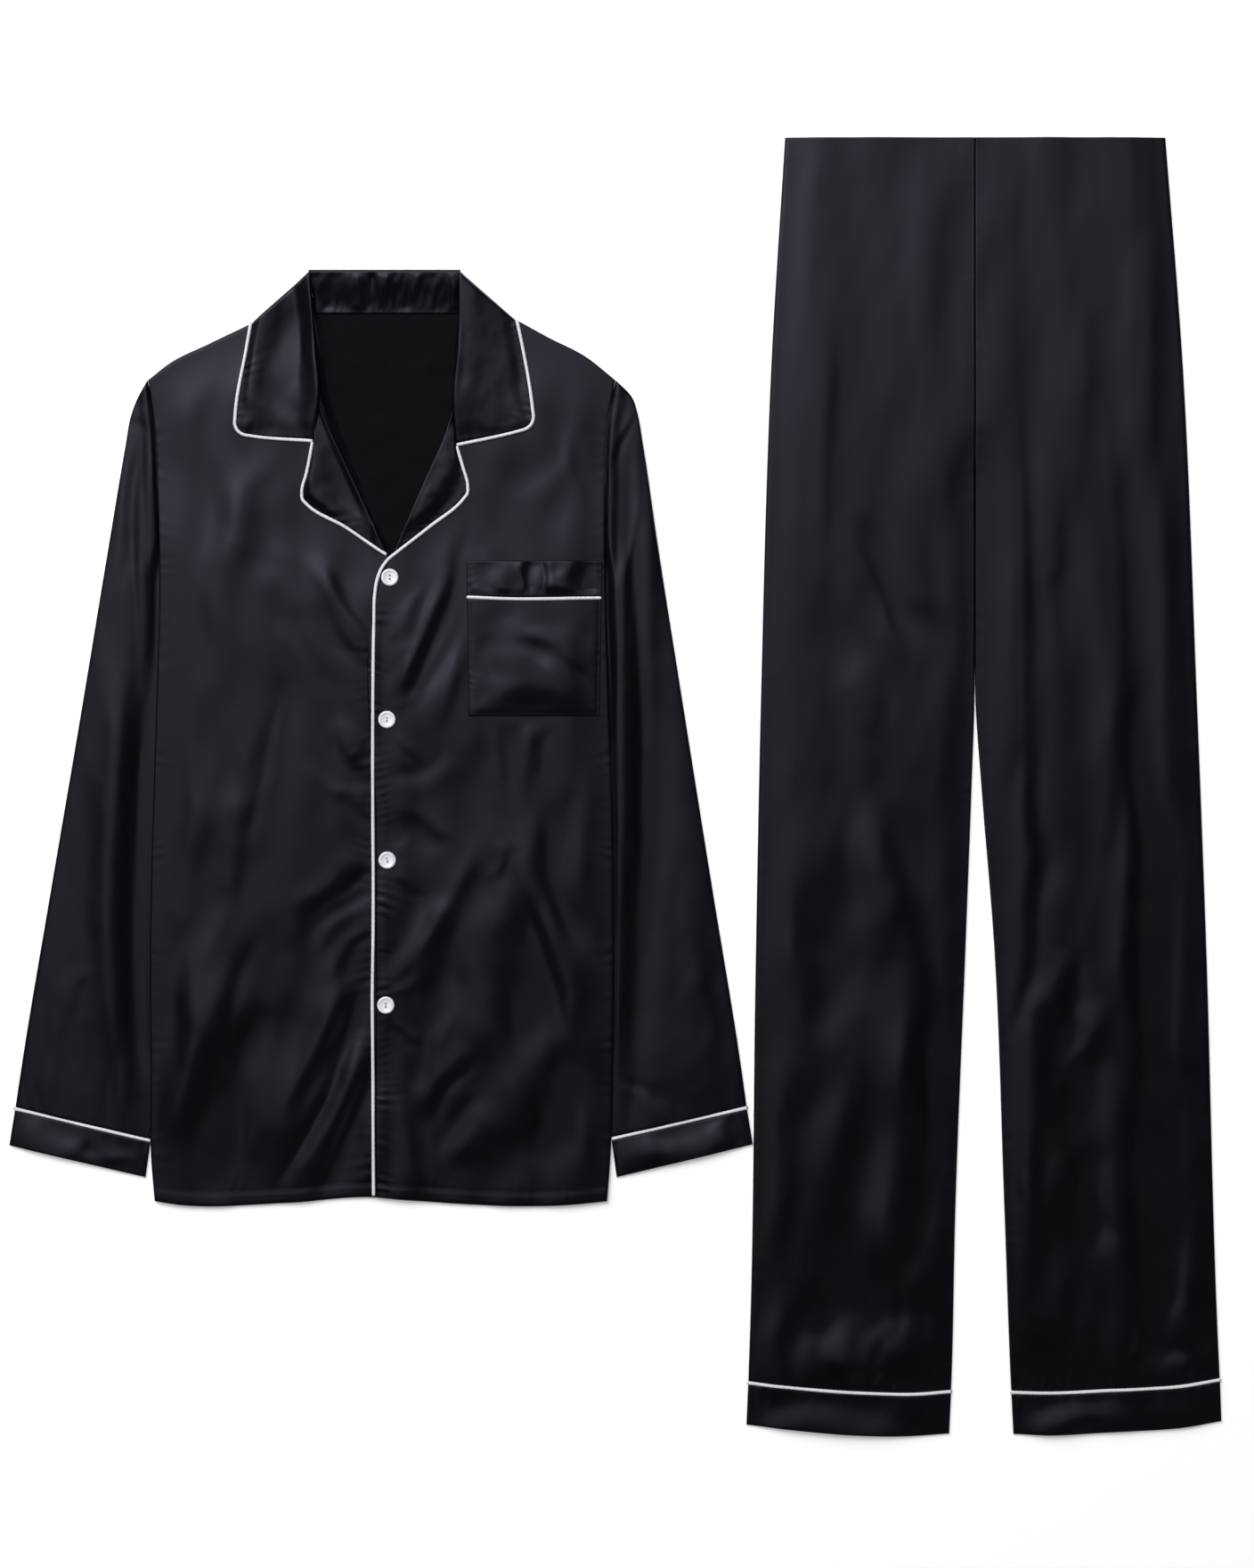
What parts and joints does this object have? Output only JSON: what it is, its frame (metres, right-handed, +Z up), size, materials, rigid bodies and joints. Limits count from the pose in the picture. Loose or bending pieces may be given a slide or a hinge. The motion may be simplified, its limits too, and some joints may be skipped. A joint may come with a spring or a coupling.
{
  "type": "pyjama set",
  "caption": "Satin pyjama set laid flat: a buttoned jacket with notched collar, chest pocket and corded piping beside its straight trousers.",
  "frame": {"origin": "middle of the set's outline on the surface that it lies on", "axes": "+Y up the garments from the hems to the collar and waist, +X to the right of one who looks down on the fronts, +Z up from the surface"},
  "size_m": [0.9808, 1.0504, 0.0114],
  "materials": {
    "satin": "black polyester satin with a soft blotchy sheen",
    "piping": "white satin wound over a thin cord",
    "button": "pearly white resin, two holes"
  },
  "bodies": {
    "root": {"jacket_back": "satin", "jacket_front_right": "satin", "jacket_front_left": "satin", "sleeve_right": "satin", "sleeve_left": "satin", "cuff_right": "satin", "cuff_left": "satin", "cuff_piping_right": "piping", "cuff_piping_left": "piping", "collar": "satin", "collar_piping_right": "piping", "collar_piping_left": "piping", "lapel_right": "satin", "lapel_left": "satin", "front_piping_right": "piping", "front_piping_left": "piping", "chest_pocket": "satin", "pocket_band": "satin", "pocket_piping": "piping", "button_1": "button", "button_2": "button", "button_3": "button", "button_4": "button", "trouser_front_right": "satin", "trouser_front_left": "satin", "trouser_back_right": "satin", "trouser_back_left": "satin", "leg_band_right": "satin", "leg_band_left": "satin", "leg_piping_right": "piping", "leg_piping_left": "piping"}
  },
  "joints": []
}
